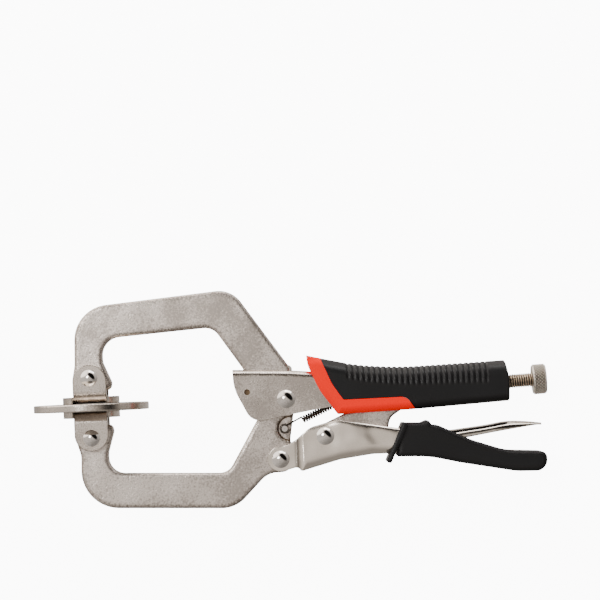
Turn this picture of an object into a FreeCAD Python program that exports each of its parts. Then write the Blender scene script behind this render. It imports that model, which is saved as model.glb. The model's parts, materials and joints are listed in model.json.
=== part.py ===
import FreeCAD, Part
import math
import os

# Locking C clamp, lying flat.  X runs from the pads along the handles to the screw knob,
# Y is the clamping direction, Z is square to the jaws' flat sides.  The origin is the
# centre of the fixed pad's working face.  Lengths are millimetres.

os.makedirs("parts", exist_ok=True)
V = FreeCAD.Vector

# ---------------------------------------------------------------- overall sizes
throat_depth = 106.1        # pad axis to the jaw pivot
fixed_jaw_rise = 51.8       # working face to the fixed jaw's outer left corner
moving_jaw_drop = 56.6      # working face to the moving jaw's outer left corner
handle_length = 118.0       # jaw pivot to the channel's screw end
lever_length = 137.0        # lever pivot to the lever steel's tail

# ---------------------------------------------------------------- pivots
jaw_pivot_y = -2.1
jaw_to_lever_pivot = V(-4.3, -32.5, 0)
lever_to_link_pivot = V(24.6, 11.6, 0)
screw_tilt = math.radians(2.13)
screw_axis_drop = 0.3       # jaw pivot down to the screw's axis
fixed_pad_rivet_y = 13.8
moving_pad_rivet_y = -18.7
pad_rivet_inset = 7.0       # pad rivet to the jaw's tip

# ---------------------------------------------------------------- thicknesses
jaw_thick = 10.0
jaw_edge_round = 1.8
handle_sheet = 2.4
lever_sheet = 2.3
cheek_gap = 0.1             # moving jaw to each cheek of the channel
link_gap = 0.4              # toggle link to each cheek
ear_gap = 0.2               # jaw to each lever ear and to each pad ear
running_gap = 0.05          # radial, a rivet or a pin in what turns on it

# ---------------------------------------------------------------- rivets and pins
pivot_shank_r = 3.9
pad_shank_r = 3.4
jaw_rivet_head_r = 4.95
lever_rivet_head_r = 4.7
link_rivet_head_r = 4.75
pad_rivet_head_r = 4.5
rivet_head_height = 2.5
spring_post_r = 1.6
anchor_pin_r = 1.5
release_pin_r = 1.75
handle_hole_r = 1.6
handle_hole_from_pivot = V(-21.0, 4.6, 0)

# ---------------------------------------------------------------- pads
pad_r = 15.4
pad_plate = 3.6
pad_ear_thick = 3.4
pad_ear_half = 9.1          # half the ears' width along X
pad_ear_over = 7.2          # pad rivet to the ears' ends
pad_bend_r = 6.3            # outside of the bend from plate to ear
large_disc_r = 31.3
large_disc_thick = 4.1
pad_gap = 0.1               # left between the two closed pads
disc_rivet_r = 3.0
disc_rivet_head_r = 5.2

# ---------------------------------------------------------------- jaw roots
lug_r = 9.5                 # eye of the moving jaw round the jaw pivot
lug_gap = 0.5               # eye to the fixed jaw's root
lever_lug_r = 7.0           # moving jaw round the lever pivot
ear_r = 6.9                 # lever ear round the lever pivot
recess_r = 6.9
recess_depth = 2.8
recess_from_post = 2.9
weld_r = 2.4
weld_from_pivot = V(1.5, 16.0, 0)

# ---------------------------------------------------------------- spring
spring_coil_r = 2.1
spring_wire_r = 0.4
spring_post_from_pivot = V(-1.5, -16.1, 0)
spring_anchor_from_pivot = V(48.0, 5.6, 0)

# ---------------------------------------------------------------- screw
screw_r = 3.9
screw_nose_r = 2.9
screw_nose_length = 3.0
thrust_tip_gap = 0.8        # thrust tip to each cheek
thrust_tip_length = 5.0
toggle_clearance = 5.2      # link's nose to the thrust tip with the clamp locked
screw_out = 13.3            # thread showing between the grip's end and the knob
knob_r = 8.25
knob_length = 7.5
knob_chamfer = 0.8
nut_length = 12.0

# ---------------------------------------------------------------- grips
grip_wall = 3.2             # grip outside the channel's cheeks
grip_round = 4.0
grip_end_wall = 2.9
accent_reach = 70.7         # jaw pivot to the accent's tail
link_slot_gap = 0.6
link_slot_past = 8.5        # slot under the grip, past the link's bearing point
lever_grip_wall = 2.3
guard_overhang = 2.0        # guard outside the lever grip
release_slot_gap = 0.5

# ---------------------------------------------------------------- lever and release lever
lever_step = 2.2            # lever's cheeks step out this far behind the ears
tail_step = 1.0             # and back in this far for the grip
lever_neck = 88.0           # lever pivot to where the grip starts to drop
release_gap = 0.5           # release lever to each cheek
release_sheet = 1.6
release_pin_from_pivot = V(76.2, 8.6, 0)     # from the lever pivot

# ---------------------------------------------------------------- worked-out places
jaw_half = jaw_thick / 2
handle_half_in = jaw_half + cheek_gap
handle_half_out = handle_half_in + handle_sheet
ear_in = jaw_half + ear_gap
ear_out = ear_in + lever_sheet
lever_half_in = ear_in + lever_step
lever_half_out = lever_half_in + lever_sheet
tail_half_in = lever_half_in - tail_step
tail_half_out = tail_half_in + lever_sheet
release_half = tail_half_in - release_gap
link_half = handle_half_in - link_gap
thrust_tip_r = handle_half_in - thrust_tip_gap
pad_ear_out = ear_in + pad_ear_thick
grip_half = handle_half_out + grip_wall
lever_grip_half = tail_half_out + lever_grip_wall

jaw_pivot = V(throat_depth, jaw_pivot_y, 0)
lever_pivot = jaw_pivot + jaw_to_lever_pivot
link_pivot = lever_pivot + lever_to_link_pivot
link_along = V(lever_to_link_pivot).normalize()
screw_along = V(math.cos(screw_tilt), math.sin(screw_tilt), 0)
screw_across = V(-screw_along.y, screw_along.x, 0)
link_to_axis = jaw_pivot - V(0, screw_axis_drop, 0) - link_pivot
link_length = link_to_axis.dot(screw_across) / link_along.dot(screw_across)
bearing = link_pivot + link_along * link_length      # where the link bears on the screw
handle_end_x = jaw_pivot.x + handle_length
screw_reach = (handle_end_x + grip_end_wall - bearing.x) / screw_along.x + screw_out
link_slot_end = bearing.x - jaw_pivot.x + link_slot_past
spring_post_at = jaw_pivot + spring_post_from_pivot
spring_anchor_at = jaw_pivot + spring_anchor_from_pivot
release_pin_at = lever_pivot + release_pin_from_pivot
fixed_pad_rivet_at = V(0, fixed_pad_rivet_y, 0)
moving_pad_rivet_at = V(0, moving_pad_rivet_y, 0)
handle_hole_at = jaw_pivot + handle_hole_from_pivot
Z = V(0, 0, 1)


# ---------------------------------------------------------------- helpers
def outline(corners, z=0.0):
    """A closed wire through corners (x, y, radius); each radius is a tangent arc."""
    count = len(corners)
    turns = []
    for i, (x, y, radius) in enumerate(corners):
        here = V(x, y, z)
        back = (V(*corners[i - 1][:2], z) - here).normalize()
        ahead = (V(*corners[(i + 1) % count][:2], z) - here).normalize()
        if radius == 0:
            turns.append((here, None, here))
            continue
        half = back.getAngle(ahead) / 2
        reach = radius / math.tan(half)
        inward = (back + ahead).normalize()
        middle = here + inward * (radius / math.sin(half) - radius)
        turns.append((here + back * reach, middle, here + ahead * reach))
    edges = []
    for i, (start, middle, end) in enumerate(turns):
        if middle is not None:
            edges.append(Part.Arc(start, middle, end).toShape())
        following = turns[(i + 1) % count][0]
        if end.distanceToPoint(following) > 1e-4:
            edges.append(Part.makeLine(end, following))
    return Part.Wire(edges)


def slab(corners, low, high):
    """The outline as a plate between two heights."""
    return Part.Face(outline(corners, low)).extrude(V(0, 0, high - low))


def from_point(point, corners):
    """Corners given from a point, moved to the clamp's own frame."""
    return [(point.x + x, point.y + y, r) for x, y, r in corners]


def cylinder(centre, radius, low, high):
    return Part.makeCylinder(radius, high - low, V(centre.x, centre.y, low), Z)


def round_flat_edges(shape, half, radius, keep=lambda centre: True):
    """Round the edges that lie in the planes z = half and z = -half."""
    edges = [e for e in shape.Edges
             if e.BoundBox.ZLength < 1e-6 and abs(abs(e.BoundBox.ZMin) - half) < 1e-6
             and keep(e.CenterOfMass)]
    return shape.makeFillet(radius, edges)


def rivet(centre, shank_r, head_r, half_grip, height=rivet_head_height):
    """A rivet along Z: a shank and a domed head on each side."""
    rim = height * 0.25
    profile = [
        Part.makeLine(V(0, 0, 0), V(shank_r, 0, 0)),
        Part.makeLine(V(shank_r, 0, 0), V(shank_r, 0, half_grip)),
        Part.makeLine(V(shank_r, 0, half_grip), V(head_r, 0, half_grip)),
        Part.makeLine(V(head_r, 0, half_grip), V(head_r, 0, half_grip + rim)),
        dome_arc(head_r, half_grip + rim, height - rim),
        Part.makeLine(V(0, 0, half_grip + height), V(0, 0, 0)),
    ]
    upper = Part.Face(Part.Wire(profile)).revolve(V(0, 0, 0), Z, 360)
    lower = upper.mirror(V(0, 0, 0), Z)
    both = upper.fuse(lower).removeSplitter()
    both.translate(centre)
    return both


def dome_arc(radius, base, height):
    """The arc of a shallow dome from its rim to its top, in the XZ plane."""
    sphere = (radius ** 2 + height ** 2) / (2 * height)
    middle = math.atan2(radius, sphere - height) / 2
    centre = base + height - sphere
    point = V(sphere * math.sin(middle), 0, centre + sphere * math.cos(middle))
    return Part.Arc(V(radius, 0, base), point, V(0, 0, base + height)).toShape()


def along_screw(distance, radius, length):
    """A cylinder on the screw's axis, its start measured from the bearing point."""
    return Part.makeCylinder(radius, length, bearing + screw_along * distance, screw_along)


# ---------------------------------------------------------------- jaws
def fixed_jaw():
    """Forged jaw: C-shaped bar, with a root that the channel's slot and cheeks hold."""
    a = jaw_pivot
    tip = fixed_pad_rivet_y - pad_rivet_inset
    inner = fixed_jaw_rise - 17.0
    outer_span = fixed_jaw_rise - tip
    inner_span = inner - tip
    bar = slab([
        (-9.2, tip, 4), (-9.6, tip + 6.1, 12), (-8.0, tip + 0.31 * outer_span, 12),
        (-6.9, fixed_jaw_rise, 0.43 * outer_span),
        (a.x - 27.2, fixed_jaw_rise + 7.0, 15),
        (a.x + 1.8, a.y + 18.4, 0), (a.x + 1.8, a.y + 13.5, 0), (a.x - 20.2, a.y + 13.5, 0),
        (a.x - 38.3, fixed_jaw_rise - 13.2, 9.1),
        (7.1, inner, 0.35 * inner_span),
        (7.3, tip + 0.55 * inner_span, 5), (11.9, tip + 4.1, 3), (11.2, tip, 3),
    ], -jaw_half, jaw_half)
    bar = round_flat_edges(bar, jaw_half, jaw_edge_round)
    root = slab(from_point(a, [
        (2.2, 17.3, 0.4), (-22.6, 17.3, 0.4), (-24.6, 11.0, 6), (-24.6, 2.0, 4),
        (-20.5, -3.8, 3), (-10.6, -3.8, 1), (-10.6, 0.0, 0), (-8.0, 6.0, 0), (2.2, 6.0, 0),
    ]), -handle_half_in, handle_half_in)
    root = root.cut(cylinder(a, lug_r + lug_gap, -handle_half_in, handle_half_in))
    jaw = bar.fuse(root).removeSplitter()
    return jaw.cut(cylinder(fixed_pad_rivet_at, pad_shank_r, -jaw_thick, jaw_thick))


def moving_jaw():
    """Forged jaw: C-shaped bar, an eye on the jaw pivot and a lug for the lever."""
    a = jaw_pivot
    b = lever_pivot
    tip = moving_pad_rivet_y + pad_rivet_inset
    inner = 18.4 - moving_jaw_drop
    outer_span = tip + moving_jaw_drop
    inner_span = tip - inner
    corners = [
        (-9.2, tip, 3.2), (-9.6, tip - 5.5, 12), (-6.4, tip - 0.37 * outer_span, 12),
        (-7.6, -moving_jaw_drop, 0.46 * outer_span),
        (a.x - 29.9, -moving_jaw_drop - 3.7, 17.4),
        (b.x - 7.2, b.y - lever_lug_r - 0.3, 12),
        (b.x + lever_lug_r, b.y - lever_lug_r - 0.1, lever_lug_r - 0.1),
        (b.x + lever_lug_r, b.y + 5.5, 4), (a.x + 1.3, b.y + 9.8, 6),
        (a.x + 3.9, a.y - 6.8, 2.5),
    ]
    corners += from_point(a, [
        (lug_r, -5.5, 5), (lug_r, lug_r, lug_r - 0.1), (-lug_r, lug_r, lug_r - 0.1),
        (-lug_r, -5.6, 3), (-15.0, -8.5, 3),
    ])
    corners += [
        (a.x - 33.2, -moving_jaw_drop + 15.6, 8.2),
        (8.0, inner, 0.33 * inner_span),
        (8.5, tip - 0.57 * inner_span, 6), (11.9, tip - 3.9, 3), (11.2, tip, 3),
    ]
    jaw = slab(corners, -jaw_half, jaw_half)
    jaw = round_flat_edges(jaw, jaw_half, jaw_edge_round)
    recess_at = spring_post_at + V(recess_from_post, 0, 0)
    jaw = jaw.cut(cylinder(recess_at, recess_r, jaw_half - recess_depth, jaw_thick))
    for centre, radius in ((moving_pad_rivet_at, pad_shank_r),
                           (a, pivot_shank_r + running_gap),
                           (b, pivot_shank_r),
                           (spring_post_at, spring_post_r)):
        jaw = jaw.cut(cylinder(centre, radius, -jaw_thick, jaw_thick))
    return jaw


def jaw_weld():
    """Weld bead behind the fixed jaw, along the edge of the channel's slot."""
    bead = cylinder(jaw_pivot + weld_from_pivot, weld_r, 0.5 - jaw_half, jaw_half - 0.5)
    return bead.cut(fixed_jaw()).cut(fixed_handle())


# ---------------------------------------------------------------- fixed handle
def handle_top(drop):
    """The channel's top line from nose to end, lowered by drop."""
    return [(handle_length, 13.0 - drop, 0), (40.0, 11.7 - drop, 80),
            (0.0, 15.7 - drop, 160), (-28.5, 17.0 - drop, 0)]


def handle_envelope():
    """The channel filled in: its side outline over its full width, bends rounded."""
    side = [(-28.2, 6.8, 25), (-19.0, -11.8, 8), (24.0, -5.1, 10), (handle_length, -3.4, 0)]
    body = slab(from_point(jaw_pivot, side + handle_top(0)), -handle_half_out, handle_half_out)
    return round_flat_edges(body, handle_half_out, handle_sheet + 1.0,
                            lambda c: c.y > jaw_pivot_y + 10.5
                            and c.x > jaw_pivot.x - 28.0)


def fixed_handle():
    """Folded channel: spine on top, two cheeks, open below; a slot for the jaw's root."""
    past = 8.0
    inner_top = [(handle_length + past, 13.0 - handle_sheet, 0)] + handle_top(handle_sheet)[1:3]
    inner_top += [(-28.5 - past, 17.2 - handle_sheet, 0)]
    hollow = slab(from_point(jaw_pivot, [(-28.5 - past, -40, 0), (handle_length + past, -40, 0)]
                             + inner_top), -handle_half_in, handle_half_in)
    channel = handle_envelope().cut(hollow).cut(fixed_jaw())
    wide = 2 * handle_half_out
    for centre, radius in ((jaw_pivot, pivot_shank_r), (handle_hole_at, handle_hole_r),
                           (spring_anchor_at, anchor_pin_r)):
        channel = channel.cut(cylinder(centre, radius, -wide, wide))
    return channel


def screw_nut():
    """Threaded block between the cheeks, at the channel's end."""
    a = jaw_pivot
    start = handle_length - nut_length
    block = slab(from_point(a, [(start, -2.6, 1), (handle_length, -2.6, 1),
                                (handle_length, 10.4, 1), (start, 10.2, 1)]),
                 -handle_half_in, handle_half_in)
    return block.cut(along_screw(0, screw_r + running_gap, 2 * handle_length)).cut(fixed_handle())


# ---------------------------------------------------------------- handle grip
def whole_grip():
    """Sleeve round the channel, black and accent together."""
    a = jaw_pivot
    end = handle_length + grip_end_wall
    side = from_point(a, [
        (11.9, 23.1, 0), (12.3, 18.1, 15), (17.9, 4.3, 40), (27.7, -9.5, 0),
        (70.9, -8.5, 200), (end, -6.1, 0), (end + 0.3, 6.0, 30), (end - 1.6, 16.0, 0),
        (62.0, 14.7, 120), (38.0, 16.9, 60),
    ])
    body = slab(side, -grip_half, grip_half)
    body = round_flat_edges(body, grip_half, grip_round,
                            lambda c: c.x > a.x + 13 and abs(c.x - a.x - end) > 3
                            and (c.y > a.y + 12 or c.y < a.y - 6))
    body = body.cut(handle_envelope())
    past = 6.0
    slot_half = handle_half_in + link_slot_gap
    slot = slab(from_point(a, [(-past, -30, 0), (link_slot_end, -30, 0), (link_slot_end, 4, 0),
                               (-past, 4, 0)]), -slot_half, slot_half)
    return body.cut(slot).cut(along_screw(0, screw_r + 0.8, 2 * handle_length))


def accent_region():
    """Side outline of the accent: the sleeve's front edge and its lower edge."""
    return slab(from_point(jaw_pivot, [
        (4.0, 30.0, 0), (18.0, 30.0, 0), (19.3, 21.0, 0), (25.0, 7.2, 30), (30.9, -1.7, 1.5),
        (accent_reach - 5.8, -1.5, 6), (accent_reach + 1.5, -12.0, 0), (accent_reach, -20, 0),
        (4.0, -20, 0)]), -2 * grip_half, 2 * grip_half)


# ---------------------------------------------------------------- lever
tail_span = lever_length - lever_neck
tail_bend = 1.2 * tail_span


def toward_tail(share):
    """A station from the lever pivot: 0 at the neck, 1 at the lever steel's tail."""
    return lever_neck + share * tail_span


def lever_floor(lift):
    """The lever's lower line from the floor's front to the tail, raised by lift."""
    return [(11.8, lift - 7.1, 2.5), (32.2, lift - 1.6, 60), (50.0, lift + 0.6, 60),
            (75.0, lift + 0.4, 60), (toward_tail(0.18), lift - 3.6, tail_bend),
            (toward_tail(0.63), lift - 8.5, tail_bend)]


def lever_side():
    """The lever's side outline, from the ears to the tail."""
    tail = lever_length
    ears_below = [(-ear_r, -ear_r, ear_r - 0.1), (1.5, -ear_r, 6), (8.6, -5.1, 2)]
    end = [(tail, -9.6, 2), (tail, -4.5, 2)]
    above = [(toward_tail(0.71), -2.8, 0.5 * tail_bend), (toward_tail(0.31), 4.0, tail_bend),
             (lever_neck, 11.2, 12), (66.0, 13.6, 40),
             (31.5, 19.9, 10), (16.5, 16.3, 20), (7.5, 8.9, 5), (1.0, ear_r - 0.2, 4),
             (-ear_r, ear_r - 0.2, ear_r - 0.3)]
    return from_point(lever_pivot, ears_below + lever_floor(0) + end + above)


def plan_block(half_ear, half_link, half_tail, past):
    """The lever's plan carried over its height: the cheeks step out behind the ears."""
    b = lever_pivot.x
    stations = [(b - ear_r - past, half_ear), (b + 8.4, half_ear), (b + 12.8, half_link),
                (b + 60.0, half_link), (b + 70.0, half_tail),
                (b + lever_length + past, half_tail)]
    ring = [V(x, -100, half) for x, half in stations]
    ring += [V(x, -100, -half) for x, half in reversed(stations)]
    return Part.Face(Part.makePolygon(ring + ring[:1])).extrude(V(0, 160, 0))


def lever_envelope():
    """The lever filled in, from the ears to the tail."""
    body = slab(lever_side(), -lever_half_out, lever_half_out)
    return body.common(plan_block(ear_out, lever_half_out, tail_half_out, 0.1))


def lever_handle():
    """Folded channel, open above: a floor and two cheeks that end in the ears."""
    tail = lever_length + 3.0
    front = -ear_r - 2.0
    floor_front = 9.6
    inside = slab(from_point(lever_pivot, [(front, -40, 0), (floor_front, -40, 0),
                                           (floor_front, -4.2, 0)] + lever_floor(lever_sheet)[1:]
                             + [(tail, lever_sheet - 9.8, 0), (tail, 60, 0), (front, 60, 0)]),
                  -lever_half_out, lever_half_out)
    hollow = inside.common(plan_block(ear_in, lever_half_in, tail_half_in, 5.0))
    channel = lever_envelope().cut(hollow)
    wide = 2 * lever_half_out
    for centre, radius in ((lever_pivot, pivot_shank_r + running_gap),
                           (link_pivot, pivot_shank_r), (release_pin_at, release_pin_r)):
        channel = channel.cut(cylinder(centre, radius, -wide, wide))
    return channel


def toggle_link():
    """Forged link: an eye with a barrel at the lever, a belly below, a nose at the screw."""
    across = V(-link_along.y, link_along.x, 0)
    nose = link_length
    corners = [(nose, 4.5, 4.4), (nose, -4.5, 4.4), (nose - 10.4, -6.5, 10),
               (nose - 18.4, -7.6, 6), (nose - 22.9, -13.0, 2.5), (nose - 29.4, -13.6, 3),
               (12.0, -6.8, 20), (-6.2, -6.2, 6.1), (-6.2, 6.2, 6.1), (20.0, 5.6, 40)]
    points = [link_pivot + link_along * u + across * v for u, v, r in corners]
    plate = slab([(p.x, p.y, c[2]) for p, c in zip(points, corners)],
                 -link_half, link_half)
    plate = round_flat_edges(plate, link_half, 0.8)
    barrel = cylinder(link_pivot, 6.0, -(lever_half_in - ear_gap), lever_half_in - ear_gap)
    link = plate.fuse(barrel)
    return link.cut(cylinder(link_pivot, pivot_shank_r + running_gap, -20, 20))


# ---------------------------------------------------------------- lever grip
def lever_grip():
    """Moulded grip on the lever's tail with a slanted finger guard at its front."""
    b = lever_pivot
    tail = lever_length + 7.0
    body = slab(from_point(b, [
        (66.8, 16.9, 1.2), (76.6, 16.5, 2), (80.6, 17.9, 1.2), (82.4, 15.2, 0.8),
        (86.0, 14.8, 6), (toward_tail(0.31), 6.3, tail_bend),
        (toward_tail(0.70), -0.4, 0.5 * tail_bend),
        (tail, -1.8, 3.5), (tail, -12.3, 6), (toward_tail(0.80), -11.9, 0.7 * tail_bend),
        (toward_tail(0.19), -6.0, tail_bend), (80.0, -1.8, 60),
        (62.6, -1.2, 1)]), -lever_grip_half, lever_grip_half)
    body = round_flat_edges(body, lever_grip_half, 1.6,
                            lambda c: c.x > b.x + 88 and c.x < b.x + tail - 3)
    guard_half = lever_half_out + guard_overhang
    guard = slab(from_point(b, [(66.4, 17.1, 1), (56.9, -4.0, 1), (59.6, -4.6, 1),
                                (69.6, 16.9, 1)]), -guard_half, guard_half)
    grip = body.fuse(guard).removeSplitter().cut(lever_envelope())
    slot_half = release_half + release_slot_gap
    slot = slab(from_point(b, [(78.0, 3.0, 0), (114.5, 3.0, 0), (114.5, 40, 0), (84.0, 40, 0),
                               (84.0, 16.0, 0), (78.0, 12.0, 0)]), -slot_half, slot_half)
    return grip.cut(slot)


# ---------------------------------------------------------------- release lever
def release_lever():
    """Pressed blade on a pin: a short arm toward the link, a long blade toward the tail."""
    p = release_pin_at
    side = from_point(p, [
        (-14.2, 2.6, 1), (-14.6, -1.6, 1), (-4.0, -4.0, 4), (8.0, -4.2, 6), (23.4, -1.6, 40),
        (43.7, 1.5, 40), (54.6, 2.9, 40), (66.0, 4.4, 0.3), (66.2, 5.1, 0.3),
        (59.0, 6.2, 40), (47.0, 7.1, 20), (36.0, 5.2, 30), (14.0, 3.0, 40), (-2.0, 3.4, 10)])
    blade = slab(side, -release_half, release_half)
    hollow = slab(from_point(p, [
        (-20.0, -20, 0), (70.0, -20, 0), (60.0, 4.3, 0), (47.0, 7.1 - release_sheet, 20),
        (36.0, 5.2 - release_sheet, 30), (14.0, 3.0 - release_sheet, 40),
        (-20.0, 3.6 - release_sheet, 0)]),
        -release_half + release_sheet, release_half - release_sheet)
    blade = blade.cut(hollow)
    return blade.cut(cylinder(p, release_pin_r + running_gap, -20, 20))


def release_pin():
    half = tail_half_out
    return cylinder(release_pin_at, release_pin_r, -half, half)


# ---------------------------------------------------------------- screw
def adjusting_screw():
    """Threaded rod with a turned-down nose at its inner end."""
    start = toggle_clearance + thrust_tip_length
    rod = along_screw(start, screw_r, screw_reach - start)
    nose = along_screw(start - screw_nose_length, screw_nose_r, screw_nose_length + 1.0)
    return rod.fuse(nose).removeSplitter()


def screw_knob():
    """Round knob pressed on the rod's outer end."""
    knob = along_screw(screw_reach, knob_r, knob_length)
    return knob.makeChamfer(knob_chamfer, [e for e in knob.Edges if e.Closed])


def thrust_tip():
    """Cap that stays still while the screw turns in it; the link bears on its face."""
    cap = along_screw(toggle_clearance, thrust_tip_r, thrust_tip_length)
    bore = along_screw(toggle_clearance + thrust_tip_length - screw_nose_length - 0.2,
                       screw_nose_r + running_gap, screw_nose_length + 1.0)
    return cap.cut(bore)


# ---------------------------------------------------------------- pads
def swivel_pad(rivet_at, face_y, facing):
    """Round pressed plate with two ears bent up through the bend radius.

    facing is +1 where the ears stand toward +Y and -1 where they stand toward -Y."""
    height = abs(rivet_at.y - face_y)
    plate = Part.makeCylinder(pad_r, pad_plate, V(0, 0, 0), V(0, 1, 0))
    middle = Part.makeBox(2 * pad_ear_half, pad_plate, 4 * pad_r,
                          V(-pad_ear_half, 0, -2 * pad_r))
    wings = plate.cut(middle)
    top = height + pad_ear_over
    bent = slab([(-pad_ear_half, 0, 0), (pad_ear_half, 0, 0),
                 (pad_ear_half, top, pad_ear_half - 0.1),
                 (-pad_ear_half, top, pad_ear_half - 0.1)], -pad_ear_out, pad_ear_out)
    corners = [e for e in bent.Edges if e.BoundBox.YMax < 1e-6 and e.BoundBox.ZLength < 1e-6]
    bent = bent.makeFillet(pad_bend_r, corners)
    inner = Part.makeBox(4 * pad_ear_half, 60, 2 * ear_in,
                         V(-2 * pad_ear_half, pad_plate, -ear_in))
    inner = inner.makeFillet(pad_bend_r - pad_ear_thick, [
        e for e in inner.Edges if e.BoundBox.YMax < pad_plate + 1e-6
        and e.BoundBox.ZLength < 1e-6 and e.BoundBox.XLength > 1])
    pad = wings.fuse(bent.cut(inner)).removeSplitter()
    pad = pad.cut(cylinder(V(0, height, 0), pad_shank_r + running_gap, -20, 20))
    if facing < 0:
        pad = pad.mirror(V(0, 0, 0), V(0, 1, 0))
    pad.translate(V(0, face_y, 0))
    return pad


def moving_pad_face():
    return -pad_gap - large_disc_thick


def moving_swivel_pad():
    pad = swivel_pad(moving_pad_rivet_at, moving_pad_face(), -1)
    return pad.cut(disc_rivet())


def disc_rivet_shank():
    y = moving_pad_face() - pad_plate
    return Part.makeCylinder(disc_rivet_r, pad_plate + large_disc_thick, V(0, y, 0), V(0, 1, 0))


def disc_rivet():
    """Countersunk rivet, flush with the large disc's face."""
    sink = disc_rivet_head_r - disc_rivet_r
    head = Part.makeCone(disc_rivet_r, disc_rivet_head_r, sink, V(0, -pad_gap - sink, 0),
                         V(0, 1, 0))
    clench_r = disc_rivet_r + 1.2
    clench = Part.makeCylinder(clench_r, 0.9, V(0, moving_pad_face() - pad_plate - 0.9, 0),
                               V(0, 1, 0))
    return disc_rivet_shank().fuse(head).fuse(clench).removeSplitter()


def large_disc():
    disc = Part.makeCylinder(large_disc_r, large_disc_thick,
                             V(0, moving_pad_face(), 0), V(0, 1, 0))
    disc = disc.makeFillet(0.7, [e for e in disc.Edges if e.Closed])
    return disc.cut(disc_rivet())


# ---------------------------------------------------------------- spring
def return_spring():
    """Tension spring: a closed coil, a wire at each end and a loop round post and pin."""
    span = spring_anchor_at - spring_post_at
    along = V(span).normalize()
    post_loop_z = jaw_half - recess_depth + 1.2
    loop_r = spring_post_r + spring_wire_r + 0.1
    anchor_loop_r = anchor_pin_r + spring_wire_r + 0.1
    coil_start = spring_post_at + span * 0.25
    coil_end = spring_post_at + span * 0.86
    coil = Part.makeCylinder(spring_coil_r, (coil_end - coil_start).Length, coil_start, along)
    coil = coil.cut(Part.makeCylinder(spring_coil_r - 2 * spring_wire_r,
                                      (coil_end - coil_start).Length, coil_start, along))
    post_loop = Part.makeTorus(loop_r, spring_wire_r, V(0, 0, 0), Z)
    post_loop.translate(spring_post_at + V(0, 0, post_loop_z))
    anchor_loop = Part.makeTorus(anchor_loop_r, spring_wire_r, V(0, 0, 0), Z)
    anchor_loop.translate(spring_anchor_at)
    side = V(-along.y, along.x, 0) * (spring_coil_r - spring_wire_r)
    lead = straight_wire(spring_post_at + along * loop_r + V(0, 0, post_loop_z),
                         coil_start + side + along)
    tail = straight_wire(coil_end - along + side, spring_anchor_at - along * anchor_loop_r)
    spring = coil.fuse([post_loop, anchor_loop, lead, tail])
    return spring


def straight_wire(start, end):
    run = end - start
    return Part.makeCylinder(spring_wire_r, run.Length, start, run)


# ---------------------------------------------------------------- the pieces
pieces = {
    "fixed_handle": fixed_handle(),
    "fixed_jaw": fixed_jaw(),
    "jaw_weld": jaw_weld(),
    "moving_jaw": moving_jaw(),
    "jaw_rivet": rivet(jaw_pivot, pivot_shank_r, jaw_rivet_head_r, handle_half_out),
    "lever_rivet": rivet(lever_pivot, pivot_shank_r, lever_rivet_head_r, ear_out + 0.1),
    "link_rivet": rivet(link_pivot, pivot_shank_r, link_rivet_head_r, lever_half_out),
    "spring_post": cylinder(spring_post_at, spring_post_r, -jaw_half, jaw_half - 0.4),
    "spring_anchor_pin": cylinder(spring_anchor_at, anchor_pin_r, -handle_half_out,
                                  handle_half_out),
    "return_spring": return_spring(),
    "lever_handle": lever_handle(),
    "lever_grip": lever_grip(),
    "toggle_link": toggle_link(),
    "release_lever": release_lever(),
    "release_pin": release_pin(),
    "handle_grip": whole_grip().cut(accent_region()),
    "grip_accent": whole_grip().common(accent_region()),
    "screw_nut": screw_nut(),
    "adjusting_screw": adjusting_screw(),
    "screw_knob": screw_knob(),
    "thrust_tip": thrust_tip(),
    "fixed_swivel_pad": swivel_pad(fixed_pad_rivet_at, 0.0, 1),
    "moving_swivel_pad": moving_swivel_pad(),
    "large_disc": large_disc(),
    "disc_rivet": disc_rivet(),
    "fixed_pad_rivet": rivet(fixed_pad_rivet_at, pad_shank_r, pad_rivet_head_r,
                             pad_ear_out + 0.1),
    "moving_pad_rivet": rivet(moving_pad_rivet_at, pad_shank_r, pad_rivet_head_r,
                              pad_ear_out + 0.1),
}

for name, shape in pieces.items():
    shape.exportStep("parts/" + name + ".step")
    print(name, len(shape.Solids), "solid(s)", round(shape.Volume / 1000, 3), "cm3",
          "valid" if shape.isValid() else "NOT VALID")
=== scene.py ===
import json
import math

import bpy
import numpy as np
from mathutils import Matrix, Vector


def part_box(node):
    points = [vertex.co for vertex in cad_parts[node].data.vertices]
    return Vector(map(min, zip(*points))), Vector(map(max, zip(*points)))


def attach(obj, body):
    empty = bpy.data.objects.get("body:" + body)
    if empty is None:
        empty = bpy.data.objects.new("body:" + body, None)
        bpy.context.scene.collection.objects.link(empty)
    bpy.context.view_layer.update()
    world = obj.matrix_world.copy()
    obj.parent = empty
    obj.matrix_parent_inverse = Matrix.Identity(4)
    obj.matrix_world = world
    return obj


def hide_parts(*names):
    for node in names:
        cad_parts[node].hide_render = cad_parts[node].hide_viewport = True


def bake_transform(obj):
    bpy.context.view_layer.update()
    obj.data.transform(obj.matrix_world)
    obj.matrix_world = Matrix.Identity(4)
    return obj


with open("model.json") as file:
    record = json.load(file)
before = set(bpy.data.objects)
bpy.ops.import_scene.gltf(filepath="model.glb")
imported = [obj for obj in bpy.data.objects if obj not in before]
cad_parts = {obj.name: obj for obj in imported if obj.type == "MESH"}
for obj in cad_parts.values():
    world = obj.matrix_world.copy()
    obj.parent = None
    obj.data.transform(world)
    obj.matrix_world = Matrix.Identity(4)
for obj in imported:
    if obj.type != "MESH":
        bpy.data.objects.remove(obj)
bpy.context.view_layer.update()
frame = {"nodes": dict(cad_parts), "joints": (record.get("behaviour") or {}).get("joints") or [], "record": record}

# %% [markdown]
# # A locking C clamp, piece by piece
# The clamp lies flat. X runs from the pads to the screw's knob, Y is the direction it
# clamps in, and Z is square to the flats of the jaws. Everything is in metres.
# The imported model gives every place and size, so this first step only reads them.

MM = 0.001


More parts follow.
